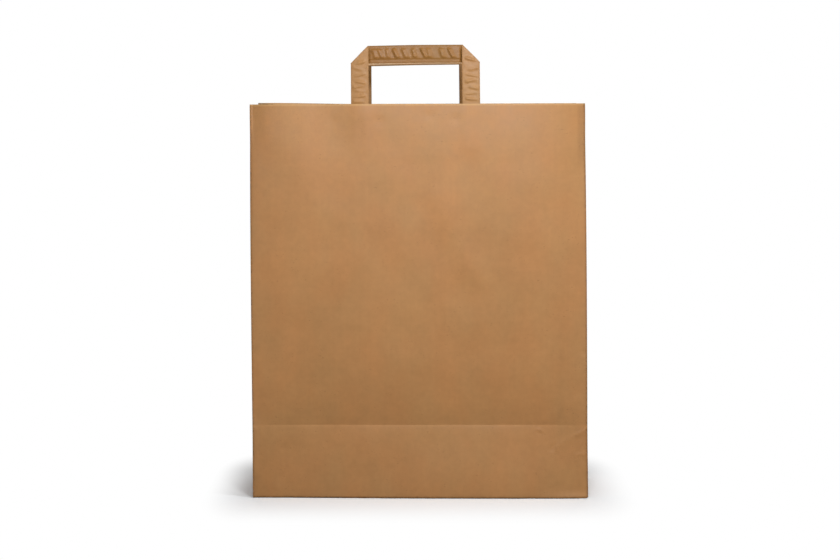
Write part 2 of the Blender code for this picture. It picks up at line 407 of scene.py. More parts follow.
folds = {  # strength and width: dark below 0, worn light above; the dark side folds are painted shade and the dark foot is a painted contact shadow
    "crease": (0.6, 0.0010),
    "sideFoldShade": (-1.1, 0.0016),
    "foot": (-1.6, 0.0014),
    "gussetMiddle": (1.0, 0.0011),
    "gussetDiagonal": (0.5, 0.0016),
    "gussetCrease": (0.4, 0.0010),
}


def foldLine(name, distance):
    strength, width = folds[name]
    return strength * line(distance, width)


def foldMarks(shares, z, kind):  # from -1 for painted shade and a painted contact shadow to 1 for worn light folds and a painted highlight
    half = bag["halfDepth"] if kind == "gusset" else bag["width"] / 2
    side = (1 - np.abs(shares)) * half
    marks = foldLine("crease", z - bag["creaseHeight"] + 0.0008) + foldLine("sideFoldShade", side)
    if kind == "front":
        # painted highlight on the front's top left
        paintedHighlight = smooth(*swell["highlightHeight"], z) * smooth(*swell["highlightAcross"], shares * half)
        marks = marks + swell["paintedHighlight"] * paintedHighlight * smooth(*swell["highlightFold"], side)
        # painted shade on the turned strips
        for hand, width, _, lowest in turnedStrips:
            turned = smooth(width + swell["stripSoft"], width - swell["stripSoft"], side)
            turned = turned * (hand * shares > 0)
            marks = marks - swell["stripShade"] * turned * smooth(lowest, lowest + swell["stripRise"], z)
    if kind == "gusset":
        middle = foldLine("gussetMiddle", np.abs(shares) * half) * climb(z) ** 0.2
        diagonal = foldLine("gussetDiagonal", (1 - np.abs(shares) - rise(z)) * half)
        diagonal = diagonal * (z < bag["creaseHeight"] - 0.001)
        marks = marks + middle + diagonal + foldLine("gussetCrease", z - bag["imprintHeight"])
    # the dark line along the foot is a painted contact shadow
    return np.clip(marks + foldLine("foot", z), -1, 1)


def denser(places, low, high):  # halves the wide steps between low and high
    halfway = (places[1:] + places[:-1]) / 2
    wanted = (halfway > low) & (halfway < high) & (np.diff(places) > bag["splitOver"])
    return np.sort(np.concatenate([places, halfway[wanted]]))


def bodyRings():
    low = denser(spaced(bag["creaseHeight"], bag["foldStep"], bag["rowStep"]), *bag["markHeights"])
    high = bag["creaseHeight"] + spaced(bag["height"] - bag["creaseHeight"], bag["foldStep"], bag["rowStep"])
    z = np.concatenate([low, high[1:]])[:, None]
    half = bag["width"] / 2
    front = spaced(bag["width"], bag["cornerStep"], bag["frontStep"]) - half
    front = denser(front, *bag["markPlaces"]) / half
    back = spaced(bag["width"], bag["cornerStep"], bag["backStep"])[::-1] / half - 1
    leaf = spaced(bag["halfDepth"], bag["cornerStep"], bag["gussetStep"]) / bag["halfDepth"]
    gusset = np.concatenate([leaf - 1, leaf[1:]])[1:-1]
    mirrored = gusset[::-1]
    parts = [  # points, marks, and how many plies lie under the edge
        (panelPoints(front, z, -1), foldMarks(front, z, "front"), np.zeros_like(front)),
        (gussetPoints(gusset, z, 1, 51), foldMarks(gusset, z, "gusset"), np.full_like(gusset, 2)),
        (panelPoints(back, z, 1), foldMarks(back, z, "back"), np.full_like(back, 1)),
        (gussetPoints(mirrored, z, -1, 53), foldMarks(mirrored, z, "gusset"), np.full_like(gusset, 2)),
    ]
    rings = np.concatenate([np.stack(points, axis=-1) for points, _, _ in parts], axis=1)
    marks = np.concatenate([mark for _, mark, _ in parts], axis=1)
    plies = np.concatenate([ply for _, _, ply in parts]) * bag["ply"]
    counts = [len(front), len(gusset), len(back)]
    corners = [0, counts[0] - 1, counts[0] + counts[1], sum(counts) - 1]
    softer = 0.5 * rings + 0.25 * np.roll(rings, 1, axis=1) + 0.25 * np.roll(rings, -1, axis=1)
    for corner in corners:  # rounds the side folds a little
        for k in (-1, 0, 1):
            place = (corner + k) % rings.shape[1]
            rings[:, place] = softer[:, place]
    return rings, marks, plies, z, counts


def outlineNormals(rings):
    along = np.roll(rings, -1, axis=1) - np.roll(rings, 1, axis=1)
    out = np.stack([along[..., 1], -along[..., 0], np.zeros(rings.shape[:2])], axis=-1)
    return out / np.linalg.norm(out, axis=-1, keepdims=True)


def shapeBase(rings, normals, plies):  # rolls the lowest rows inwards and stands them on their plies
    radius = bag["baseRadius"]
    height = rings[..., 2]
    into = radius - np.sqrt(np.clip(radius**2 - np.clip(radius - height, 0, None) ** 2, 0, None))
    rings = rings - normals * into[..., None]
    lift = plies[None, :] * np.clip(1 - height / bag["plyReach"], 0, 1)
    rings[..., 2] = rings[..., 2] + lift
    return rings


def closeOuterBase(places, faces, marks, ring, counts):  # outer flap lowest, inner flap, then end triangles
    starts = [0, counts[0], counts[0] + counts[1], sum(counts), ring]
    front, right, back, left = [list(range(first, after)) for first, after in zip(starts, starts[1:])]
    apex = bag["width"] / 2 - bag["halfDepth"] + bag["apexPast"]
    lap = bag["baseLap"]
    levels = (0.0, bag["ply"], 2 * bag["ply"])

    def corner(x, y, z):
        places.append((x, y, z))
        marks.append(0.0)
        return len(places) - 1

    def side(sign, before, ends, after):
        points = [corner(sign * apex, 0, level) for level in levels]
        laps = [corner(sign * (apex - lap), lap, level) for level in levels[:2]]
        faces.append(ends + [points[2]])
        if sign > 0:
            faces.append([before] + ends[:1] + points[::-1])
            faces.append([after] + points[1:] + ends[-1:])
        else:
            faces.append([before] + ends[:1] + points[:0:-1])
            faces.append([after] + points + ends[-1:])
        faces.append([points[0], points[1], laps[1], laps[0]])
        return points, laps

    rightPoints, rightLaps = side(1, front[-1], right, back[0])
    leftPoints, leftLaps = side(-1, back[-1], left, front[0])
    faces.append(front + [rightPoints[0], rightLaps[0], leftLaps[0], leftPoints[0]])
    faces.append(back + [leftPoints[1], leftLaps[1], rightLaps[1], rightPoints[1]])
    faces.append([rightLaps[0], rightLaps[1], leftLaps[1], leftLaps[0]])


def makeBody():
    rings, marks, plies, z, counts = bodyRings()
    normals = outlineNormals(rings)
    outer = shapeBase(rings, normals, plies)
    x = outer[..., 0]
    lift = bag["rearRimLift"] * smooth(-0.055, -0.150, x) * (outer[..., 1] > 0.03) * climb(z) ** 3
    outer[..., 2] = outer[..., 2] + lift
    inner = outer - normals * bag["paper"]
    inner[..., 2] = np.maximum(inner[..., 2], bag["floor"])
    for rows in (outer, inner):
        rows[..., 0] = rows[..., 0] + lean(rows[..., 2])
    count, around = outer.shape[:2]
    places = [*outer.reshape(-1, 3), *inner.reshape(-1, 3)]
    values = [*marks.reshape(-1), *marks.reshape(-1)]
    # painted highlight along the top 2 mm of the sheet, on both faces
    rim = smooth(bag["height"] - bag["rimWidth"], bag["height"] - 0.3 * bag["rimWidth"], z)
    rim = [*np.repeat(rim, around, axis=1).reshape(-1)] * 2
    faces = ringFaces(count, around) + ringFaces(count, around, count * around)
    for k in range(around):
        after = (k + 1) % around
        top = (count - 1) * around
        faces.append((top + k, top + after, top + after + count * around, top + k + count * around))
    faces.append([count * around + k for k in range(around)])
    closeOuterBase(places, faces, values, around, counts)
    rim += [0.0] * (len(places) - len(rim))
    body = meshPiece("bagShell", places, faces, sharpAngle=34, fold=values, rim=rim)
    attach(body, "root")
    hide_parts("bag_body")
    return body


# Flat handles: a folded paper strip, turned back at 45 degrees at both top corners

strip = {
    "width": 0.0168,
    "outside": 0.1222,  # over both legs
    "thickness": 0.00050,
    "layer": 0.00060,  # from a leg's middle to the crossbar's
    "shift": -0.0014,  # sideways from the bag's middle
    "tail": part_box("front_handle")[0][2],
    "top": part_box("front_handle")[1][2],
    "legDepth": 0.0691,
    "turnInset": 0.0005,
    "turnRows": 8,
    "edgePower": 10,  # how square the strip's edges are
    "seam": 0.0040,  # from the crossbar's lower edge
    "seamStep": 0.00040,
    "wrinkledTo": 0.0138,
    "barFrom": (0.0002, 0.0020),  # above the seam
    "barTo": (0.0006, -0.0016),  # around the last wrinkled place
    "legFrom": (0.0006, 0.0030),
    "legTo": (0.0150, 0.0118),
    "legUp": (-0.004, 0.003),  # from the mouth's height
    "crestFrom": 0.0004,  # higher wrinkles are lighter on their crests
    "crestSpan": 0.0007,
    "tiltFrom": 0.004,  # below the mouth
    "otherSide": -0.35,  # share of the wrinkles that shows on the other side
    "rough": 0.00004,
    "gapEdge": (0.0024, 0.0004),
    "gapFold": (0.0003, 0.0060),
    "thinFrom": (0.0010, 0.0022),
    "thinTo": (0.0062, 0.0048),
    "rowStep": 0.00060,
    "across": 30,
}
crinkles = {  # four numbers: middle, spread, pace and start of what changes from wrinkle to wrinkle
    "bar": {
        "flanks": (0.65, 1.6),  # steep before the crest, gentle behind
        "slopeFrom": 0.009,
        "slope": (-0.34, -0.16, 2.3, 0),
        "width": (0.0019, 0.0004, 1.7, 1),
        "height": (0.00095, 0.00022, 2.2, 1),
    },
    "leg": {
        "flanks": (0.6, 1.7),
        "slopeFrom": 0.008,
        "curlFrom": 0.0085,
        "spanFrom": 0.0082,
        "span": 0.0062,
        "slope": (0, 0.22, 2.9, 0),
        "width": (0.0012, 0.0003, 2.1, 0),
        "height": (0.00066, 0.00026, 1.9, 2),
        "curl": (0, 7.0, 1.3, 0),
        "shift": (0, 0.0035, 4.1, 1),
    },
}
handles = {
    "front": {
        "side": -1,
        "tilt": 0.0087,  # the part above the mouth rises to the right
        "gaps": (0.0009, 0.0026),  # left and right
        "thinBand": 0.0,
        "bar": [-0.0387, -0.0330, -0.0264, -0.0188, -0.0103, -0.0017, 0.0077, 0.0125, 0.0248, 0.0333],
        "leftLeg": [0.0388, 0.0328, 0.0270, 0.0207, 0.0165, 0.0120, 0.0070, 0.0020],
        "rightLeg": [0.0410, 0.0318, 0.0262, 0.0213, 0.0150, 0.0095, 0.0040],
        "seed": 71,
    },
    "rear": {
        "side": 1,
        "tilt": 0.0190,
        "gaps": (0.0008, 0.0005),
        "thinBand": 1.0,  # a painted sheen along the crossbar's lower part
        "bar": [-0.0350, -0.0260, -0.0200, -0.0090, 0.0010, 0.0100, 0.0190, 0.0270, 0.0370],
        "leftLeg": [0.0380, 0.0290, 0.0220, 0.0150, 0.0080, 0.0030],
        "rightLeg": [0.0360, 0.0270, 0.0200, 0.0130, 0.0070],
        "seed": 83,
    },
}


def stripRows(t):  # the strip's middle surface from tail to tail, and the way its panel side faces
    half = strip["outside"] / 2
    level = strip["top"] - strip["width"]
    radius = strip["layer"] / 2
    slant = strip["turnInset"] / math.sqrt(2)
    legCount = round((level - strip["tail"]) / strip["rowStep"])
    barCount = round((strip["outside"] - strip["width"]) / strip["rowStep"])
    turnCount = strip["turnRows"]
    rows = []

    def turn(sign, angle):  # one row of a folded corner, sign is -1 for the left one
        out = radius * math.sin(angle) / math.sqrt(2)
        facing = (sign * math.sin(angle) / math.sqrt(2), math.sin(angle) / math.sqrt(2), math.cos(angle))
        across = radius * (1 - math.cos(angle))
        place = sign * (half - t - slant + out)
        rows.append((place, level + t - slant + out, across + 0 * t, facing, "turn"))

    for k in range(legCount + 1):
        z = strip["tail"] + (level + t - slant - strip["tail"]) * k / legCount
        rows.append((-half + t + slant * k / legCount, z, 0 * t, (0, 0, 1), "leftLeg"))
    for k in range(1, turnCount):
        turn(-1, math.pi * k / turnCount)
    for k in range(barCount + 1):
        x = (-half + t + slant) + (2 * half - 2 * t - 2 * slant) * k / barCount
        z = level + t - slant * abs(2 * k / barCount - 1)
        rows.append((x, z, strip["layer"] + 0 * t, (0, 0, -1), "bar"))
    for k in range(1, turnCount):
        turn(1, math.pi * (1 - k / turnCount))
    for k in range(legCount + 1):
        share = 1 - k / legCount
        z = strip["tail"] + (level + t - slant - strip["tail"]) * share
        rows.append((half - t - slant * share, z, 0 * t, (0, 0, 1), "rightLeg"))
    return rows


def varied(part, name, k, later=0):  # one wrinkle's own value
    middle, spread, pace, start = crinkles[part][name]
    return middle + spread * math.sin(pace * k + start + later)


def crinkle(off, steep, gentle):  # one wrinkle's profile
    off = np.where(off < 0, off / steep, off / gentle)
    return np.exp(-(off**2))


def stripRelief(handle, part, x, z, t, seamSide):  # wrinkles of the glued strip, outwards from its face
    out = strip["rough"] * waves(x * 1.4, z * 1.4, 0.009, handle["seed"])
    if part == "bar":
        plan = crinkles["bar"]
        first, full = strip["barFrom"]
        reach = smooth(strip["seam"] + first, strip["seam"] + full, t)
        last, fading = strip["barTo"]
        reach = reach * smooth(strip["wrinkledTo"] + last, strip["wrinkledTo"] + fading, t)
        for k, place in enumerate(handle["bar"]):
            drift = varied("bar", "slope", k) * (t - plan["slopeFrom"])
            off = (x - place - drift) / varied("bar", "width", k)
            out = out + varied("bar", "height", k) * reach * crinkle(off, *plan["flanks"])
    elif part != "turn":
        plan = crinkles["leg"]
        level = z - bag["height"]
        reach = smooth(*strip["legFrom"], t) * smooth(*strip["legTo"], t) * smooth(*strip["legUp"], level)
        for k, place in enumerate(handle[part]):
            drift = varied("leg", "slope", k, handle["seed"]) * (t - plan["slopeFrom"])
            drift = drift + (t - plan["curlFrom"]) ** 2 * varied("leg", "curl", k)
            span = np.exp(-(((t - plan["spanFrom"] - varied("leg", "shift", k)) / plan["span"]) ** 4))
            off = (level - place - drift) / varied("leg", "width", k)
            out = out + varied("leg", "height", k) * reach * span * crinkle(off, *plan["flanks"])
    shown = seamSide == (part == "bar")  # the other side of the strip follows its wrinkles
    out = out * (1.0 if shown else strip["otherSide"])
    if seamSide:
        out = out + strip["seamStep"] * smooth(strip["seam"] - 0.0001, strip["seam"] + 0.0002, t)
    return out


def barGap(handle, x, t):  # how far the crossbar stands behind the legs where they cross
    half = strip["outside"] / 2
    inner = half - strip["width"]
    fromFold = (half - t - np.abs(x)) / math.sqrt(2)
    size = np.where(x > 0, handle["gaps"][1], handle["gaps"][0])
    first, last = strip["gapEdge"]
    return size * smooth(inner - first, inner - last, np.abs(x)) * smooth(*strip["gapFold"], fromFold)


def makeHandle(name):
    handle = handles[name]
    side = handle["side"]
    halfCount = strip["across"]
    t = strip["width"] * (1 - np.cos(np.pi * np.arange(halfCount + 1) / halfCount)) / 2
    bulge = np.sqrt(np.clip(1 - np.abs(2 * t / strip["width"] - 1) ** strip["edgePower"], 0, 1))
    places = []
    tones = []
    edges = []
    sheens = []
    rows = stripRows(t)
    for x, z, across, facing, part in rows:
        if part == "bar":
            across = across + barGap(handle, x, t)
        ring = []
        for seamSide in (False, True):
            thick = bulge * strip["thickness"] / 2
            relief = stripRelief(handle, part, x, z, t, seamSide)
            raised = thick + relief * bulge
            crest = bulge - 1 + np.clip((relief - strip["crestFrom"]) / strip["crestSpan"], 0, 1)
            sign = -1 if seamSide else 1
            point = np.stack([
                x + strip["shift"] + sign * facing[0] * raised,
                side * (strip["legDepth"] - across + sign * facing[2] * raised),
                z + sign * facing[1] * raised,
            ], axis=-1)
            keep = slice(-2, 0, -1) if seamSide else slice(None)  # back along the ring on the seam side
            ring.append(point[keep])
            tones += [float(seamSide)] * len(point[keep])
            edges += list(crest[keep])
            # painted sheen on the rear crossbar's face, a paler colour along its lower part
            thin = handle["thinBand"] * (part == "bar") * (not seamSide)
            thin = thin * smooth(*strip["thinFrom"], t) * smooth(*strip["thinTo"], t)
            sheens += list(thin[keep])
        ring = np.concatenate(ring)
        above = smooth(bag["height"] - strip["tiltFrom"], strip["top"], ring[:, 2])
        ring[:, 2] = ring[:, 2] + handle["tilt"] * ring[:, 0] * above
        swing = slowSwell(ring[:, 0], np.minimum(ring[:, 2], bag["height"]), side)
        ring[:, 1] = ring[:, 1] + side * swing
        ring[:, 0] = ring[:, 0] + lean(ring[:, 2])
        places += list(ring)
    around = 2 * halfCount
    faces = ringFaces(len(rows), around)
    faces.append(list(range(around)))
    faces.append(list(range(len(places) - around, len(places))))
    piece = meshPiece(name + "Handle", places, faces, sharpAngle=40, tone=tones, fold=edges, thin=sheens)
    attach(piece, "root")
    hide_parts(name + "_handle")
    return piece


# Patches glued over the handles' legs inside the bag

patch = {
    "margin": 0.033,  # beyond the legs
    "rampWidth": 0.0030,
    "lift": 0.0009,  # over the legs
    "creep": 0.00008,
    "creepLength": 0.014,
    "tailRamp": (0.004, 0.0005),
    "paper": 0.00025,
    "offPanel": 0.00075,
    "edgeStep": 0.0004,
    "step": 0.0022,
    "rowStep": 0.0030,
}


def makePatch(name):
    side = handles[name]["side"]
    low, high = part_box(name + "_handle_patch")
    half = strip["outside"] / 2 + patch["margin"]
    x = (spaced(2 * half, patch["edgeStep"], patch["step"]) - half)[None, :]
    z = (low[2] + spaced(high[2] - low[2], patch["edgeStep"], patch["rowStep"]))[:, None]
    inside = smooth(strip["outside"] / 2 + patch["rampWidth"], strip["outside"] / 2, np.abs(x))
    inner = strip["outside"] / 2 - strip["width"]
    legs = inside * smooth(inner - patch["rampWidth"], inner, np.abs(x))
    first, full = patch["tailRamp"]
    legs = legs * smooth(strip["tail"] - first, strip["tail"] - full, z)
    creep = patch["creep"] * waves(x, z, patch["creepLength"], 91 + side) * (1 - legs)
    depth = panelDepth(x, z, 0) - patch["offPanel"] + slowSwell(x, z, side) - patch["lift"] * legs
    depth = depth - np.abs(creep)
    grid = [x + strip["shift"] + 0 * z, z + 0 * x]
    places = []
    for layer in (0, patch["paper"]):
        spots = np.stack([grid[0], side * (depth - layer), grid[1]], axis=-1)
        spots[..., 0] = spots[..., 0] + lean(spots[..., 2])
        places += list(spots.reshape(-1, 3))
    rows, columns = depth.shape
    total = rows * columns
    faces = []
    for first in (0, total):
        for row in range(rows - 1):
            for column in range(columns - 1):
                here = first + row * columns + column
                faces.append((here, here + 1, here + 1 + columns, here + columns))
    border = list(range(columns)) + [row * columns + columns - 1 for row in range(1, rows)]
    border += [total - 1 - k for k in range(1, columns)] + [row * columns for row in range(rows - 2, 0, -1)]
    for k, here in enumerate(border):
        after = border[(k + 1) % len(border)]
        faces.append((here, after, after + total, here + total))
    piece = meshPiece(name + "Patch", places, faces, sharpAngle=40)
    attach(piece, "root")
    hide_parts(name + "_handle_patch")
    return piece


body = makeBody()
print("body folded,", len(body.data.polygons), "faces")
frontHandle = makeHandle("front")
rearHandle = makeHandle("rear")
print("handles folded")
frontPatch = makePatch("front")
rearPatch = makePatch("rear")
print("patches glued in")


# Kraft paper: fibres, flecks, clouds, worn folds, and painted shade and highlights

def newGroup(name, inputs, outputs):  # inputs are (name, kind, value), outputs are names of numbers
    group = bpy.data.node_groups.new(name, "ShaderNodeTree")
    for label, kind, value in inputs:
        socket = group.interface.new_socket(label, in_out="INPUT", socket_type=kind)
        socket.default_value = value
    for label in outputs:
        group.interface.new_socket(label, in_out="OUTPUT", socket_type="NodeSocketFloat")
    entry = group.nodes.new("NodeGroupInput")
    leave = group.nodes.new("NodeGroupOutput")
    return group, entry, leave


def addNode(tree, kind, **settings):  # settings are the node's own properties
    node = tree.nodes.new("ShaderNode" + kind)
    for key, value in settings.items():
        setattr(node, key, value)
    return node


def feed(tree, node, **sockets):  # fills or links inputs, by name or as n0, n1 and so on
    for label, value in sockets.items():
        numbered = label[0] == "n" and label[1:].isdigit()
        socket = node.inputs[int(label[1:]) if numbered else label]
        if isinstance(value, bpy.types.NodeSocket):
            tree.links.new(value, socket)
        else:
            socket.default_value = value
    return node


def mathValue(tree, operation, first, second=0.0):
    node = addNode(tree, "Math", operation=operation)
    feed(tree, node, n0=first, n1=second)
    return node.outputs[0]


def attributeValue(tree, name):
    return addNode(tree, "Attribute", attribute_name=name).outputs["Fac"]


def mixture(tree, values, shares):  # values added up by their shares
    total = None
    for value, share in zip(values, shares):
        part = mathValue(tree, "MULTIPLY", value, share)
        total = part if total is None else mathValue(tree, "ADD", total, part)
    return total


def remap(tree, value, low, high, toLow=0.0, toHigh=1.0):
    node = addNode(tree, "MapRange", clamp=True)
    feed(tree, node, n0=value, n1=low, n2=high, n3=toLow, n4=toHigh)
    return node.outputs[0]


def noiseValue(tree, vector, scale, detail=2.0, roughness=0.5, distortion=0.0):
    node = addNode(tree, "TexNoise")
    feed(tree, node, Vector=vector, Scale=scale, Detail=detail, Roughness=roughness, Distortion=distortion)
    return node.outputs["Fac"]


def stretched(tree, vector, size, turn=(0, 0, 0)):
    node = addNode(tree, "Mapping")
    feed(tree, node, Vector=vector, Rotation=turn, Scale=size)
    return node.outputs[0]


grain = {  # a noise is scale, detail, roughness and distortion, and a size is steps for each metre
    "streak": (1.0, 2.0, 0.6, 0.6),
    "streakTurns": [(0.1, 0.2, 0.3), (0.9, -0.5, 1.2), (-0.7, 0.8, 2.2)],
    "streakSizes": [(260, 260, 1500), (1300, 1300, 300), (1400, 340, 340)],
    "streakRange": (0.38, 0.72),
    "streakShare": 0.333,
    "speck": (1.0, 1.0),
    "speckSize": (420, 420, 760),
    "speckTurn": (0.4, 0.1, 0.8),
    "speckRange": (0.66, 0.74),
    "rare": (95.0, 1.0),
    "rareRange": (0.50, 0.62),
    "wideCloud": (16.0, 3.0, 0.55),
    "wideSize": (1, 1, 0.7),
    "middleCloud": (62.0, 2.0, 0.6),
    "smallCloud": (190.0, 1.0, 0.5),
    "cloudShares": (0.38, 0.34, 0.28),
    "cloudRange": (0.32, 0.68),
    "tint": (34.0, 2.0, 0.5),
    "tintSize": (1, 1, 0.6),
    "tintTurn": (0.3, 0.2, 0.1),
    "tintRange": (0.35, 0.65),
    "fine": (900.0, 2.0, 0.6),
    "heightShares": (0.7, 0.3),
    "line": (1.0, 2.0, 0.7),
    "uprightSize": (240, 240, 3),
    "levelSize": (4, 4, 170),
    "lineShares": (0.6, 0.4),
    "lineRange": (0.3, 0.7),
    "cockle": (75.0, 2.0, 0.45),
    "cockleSize": (1, 1, 0.55),
    "wearAndShadeRange": (0.25, 0.6, 0.35, 1.0),
}


def makeFibreGroup():  # pulp fibres a few millimetres long, flecks and the paper's cloudy body
    group, entry, leave = newGroup(
        "kraftFibres",
        [("Place", "NodeSocketVector", (0, 0, 0))],
        ["Fibres", "Flecks", "Clouds", "Tint", "Height"],
    )
    place = entry.outputs["Place"]
    layers = []
    for turn, size in zip(grain["streakTurns"], grain["streakSizes"]):
        streak = noiseValue(group, stretched(group, place, size, turn), *grain["streak"])
        layers.append(remap(group, streak, *grain["streakRange"]))
    fibres = mathValue(group, "ADD", mathValue(group, "ADD", layers[0], layers[1]), layers[2])
    fibres = mathValue(group, "MULTIPLY", fibres, grain["streakShare"])
    speckPlace = stretched(group, place, grain["speckSize"], grain["speckTurn"])
    speck = noiseValue(group, speckPlace, *grain["speck"])
    rare = noiseValue(group, place, *grain["rare"])
    speck = remap(group, speck, *grain["speckRange"])
    flecks = mathValue(group, "MULTIPLY", speck, remap(group, rare, *grain["rareRange"]))
    wide = noiseValue(group, stretched(group, place, grain["wideSize"]), *grain["wideCloud"])
    middle = noiseValue(group, place, *grain["middleCloud"])
    small = noiseValue(group, place, *grain["smallCloud"])
    clouds = mixture(group, (wide, middle, small), grain["cloudShares"])
    tint = noiseValue(group, stretched(group, place, grain["tintSize"], grain["tintTurn"]), *grain["tint"])
    fine = noiseValue(group, place, *grain["fine"])
    height = mixture(group, (fibres, fine), grain["heightShares"])
    feed(group, leave, Fibres=fibres, Flecks=flecks, Clouds=remap(group, clouds, *grain["cloudRange"]))
    feed(group, leave, Tint=remap(group, tint, *grain["tintRange"]), Height=height)
    return group


def makeMachineGroup():  # faint lines that the paper machine leaves along and across the web
    group, entry, leave = newGroup(
        "machineLines",
        [("Place", "NodeSocketVector", (0, 0, 0))],
        ["Lines", "Cockle"],
    )
    place = entry.outputs["Place"]
    upright = noiseValue(group, stretched(group, place, grain["uprightSize"]), *grain["line"])
    level = noiseValue(group, stretched(group, place, grain["levelSize"]), *grain["line"])
    lines = mixture(group, (upright, level), grain["lineShares"])
    cockle = noiseValue(group, stretched(group, place, grain["cockleSize"]), *grain["cockle"])
    feed(group, leave, Lines=remap(group, lines, *grain["lineRange"]), Cockle=cockle)
    return group


def makeWearAndShadeGroup():  # worn light paper on folds, with painted shade, a painted contact shadow and painted highlights, broken up by the fibres
    group, entry, leave = newGroup(
        "foldWearAndShade",
        [("Fold", "NodeSocketFloat", 0.0), ("Fibres", "NodeSocketFloat", 0.5)],
        ["Rubbed"],
    )
    uneven = remap(group, entry.outputs["Fibres"], *grain["wearAndShadeRange"])
    broken = mathValue(group, "MULTIPLY", entry.outputs["Fold"], uneven)
    feed(group, leave, Rubbed=broken)
    return group


fibreGroup = makeFibreGroup()
machineGroup = makeMachineGroup()
wearAndShadeGroup = makeWearAndShadeGroup()


kraft = {
    "body": {
        "colour": (0.350, 0.168, 0.057),
        "inside": None,
        "cloud": 0.09,  # the shares by which each effect changes the colour
        "fibre": 0.02,
        "line": 0.02,
        "fleck": 0.20,
        # brighten lightens worn folds and painted highlights, dark sets the painted shade and painted
        # contact shadow
        "rub": 0.10,
        "dark": 0.60,
        "highlight": ("rim", 0.35, (0.60, 0.38, 0.15)),  # a painted highlight along the mouth's edge
        "roughness": 0.46,
        "gloss": 0.33,
        "bump": 0.000015,  # metres
        "cockle": 0.00014,
    },
    "handle": {
        "colour": (0.325, 0.167, 0.058),
        "inside": (0.221, 0.100, 0.0217),  # the strip's seam side
        "cloud": 0.06,
        "fibre": 0.08,
        "line": 0.02,
        "fleck": 0.20,
        "rub": 0.14,
        "dark": 0.25,
        "highlight": ("thin", 0.95, (0.70, 0.45, 0.26)),  # a painted sheen along the rear crossbar's lower part
        "roughness": 0.44,
        "gloss": 0.25,
        "bump": 0.00003,
        "cockle": 0.00008,
    },
    "patch": {
        "colour": (0.365, 0.165, 0.055),
        "inside": None,
        "cloud": 0.06,
        "fibre": 0.08,
        "line": 0.02,
        "fleck": 0.20,
        "rub": 0.06,
        "dark": 0.10,
        "highlight": None,
        "roughness": 0.60,
        "gloss": 0.20,
        "bump": 0.00003,
        "cockle": 0.00014,
    },
}


def mixColour(tree, blend, amount, first, second):
    node = addNode(tree, "Mix", data_type="RGBA", blend_type=blend)
    node.clamp_factor = True
    feed(tree, node, n0=amount, n6=first, n7=second)
    return node.outputs[2]


def makeKraft(name):
    look = kraft[name]
    material = bpy.data.materials.new("kraft" + name.capitalize())
    material.use_nodes = True
    tree = material.node_tree
    shader = tree.nodes["Principled BSDF"]
    place = addNode(tree, "TexCoord").outputs["Object"]
    fibres = feed(tree, addNode(tree, "Group", node_tree=fibreGroup), Place=place)
    machine = feed(tree, addNode(tree, "Group", node_tree=machineGroup), Place=place)
    fold = attributeValue(tree, "fold")
    wearAndShade = addNode(tree, "Group", node_tree=wearAndShadeGroup)
    feed(tree, wearAndShade, Fold=fold, Fibres=fibres.outputs["Fibres"])
    plain = (*look["colour"], 1)
    colour = plain
    if look["inside"]:
        tone = attributeValue(tree, "tone")
        colour = mixColour(tree, "MIX", tone, plain, (*look["inside"], 1))
    steps = [
        (fibres.outputs["Clouds"], look["cloud"]),
        (fibres.outputs["Fibres"], look["fibre"]),
        (machine.outputs["Lines"], look["line"]),
    ]
    level = None
    for value, amount in steps:
        part = remap(tree, value, 0.0, 1.0, 1 - amount, 1 + amount)
        level = part if level is None else mathValue(tree, "MULTIPLY", level, part)
    flecked = remap(tree, fibres.outputs["Flecks"], 0, 1, 1, 1 - look["fleck"])
    level = mathValue(tree, "MULTIPLY", level, flecked)
    # fold marks: worn folds and painted highlights lighten, painted shade and a painted contact shadow
    # darken
    lightened = remap(tree, wearAndShade.outputs["Rubbed"], 0, 1, 1, 1 + look["rub"])
    darkened = remap(tree, wearAndShade.outputs["Rubbed"], -1, 0, 1 - look["dark"], 1)
    level = mathValue(tree, "MULTIPLY", level, mathValue(tree, "MULTIPLY", lightened, darkened))
    # painted highlights: along the bag's mouth, and a sheen band on the rear crossbar
    if look["highlight"]:
        where, amount, highlight = look["highlight"]
        spot = attributeValue(tree, where)
        colour = mixColour(tree, "MIX", remap(tree, spot, 0, 1, 0, amount), colour, (*highlight, 1))
    warmth = mixColour(tree, "MIX", fibres.outputs["Tint"], (1.02, 0.99, 0.97, 1), (0.98, 1.01, 1.02, 1))
    colour = mixColour(tree, "MULTIPLY", 1.0, colour, warmth)
    grey = addNode(tree, "CombineColor")
    feed(tree, grey, Red=level, Green=level, Blue=level)
    colour = mixColour(tree, "MULTIPLY", 1.0, colour, grey.outputs[0])
    feed(tree, shader, **{"Base Color": colour})
    rough = remap(tree, fibres.outputs["Clouds"], 0, 1, look["roughness"] - 0.06, look["roughness"] + 0.06)
    rough = mathValue(tree, "ADD", rough, remap(tree, fold, -1, 0, 0.35, 0))
    feed(tree, shader, Roughness=rough)
    shader.inputs["Specular IOR Level"].default_value = look["gloss"]
    reliefs = (fibres.outputs["Height"], machine.outputs["Cockle"])
    height = mixture(tree, reliefs, (look["bump"], look["cockle"]))
    bump = addNode(tree, "Bump")
    feed(tree, bump, Strength=1.0, Distance=1.0, Height=height)
    feed(tree, shader, Normal=bump.outputs[0])
    return material


def dress(pieces, material):
    for piece in pieces:
        piece.data.materials.clear()
        piece.data.materials.append(material)


dress([body], makeKraft("body"))
dress([frontHandle, rearHandle], makeKraft("handle"))
dress([frontPatch, rearPatch], makeKraft("patch"))
print("kraft paper made")


# Studio: a white floor that keeps the shadow, five lamps and an even sky

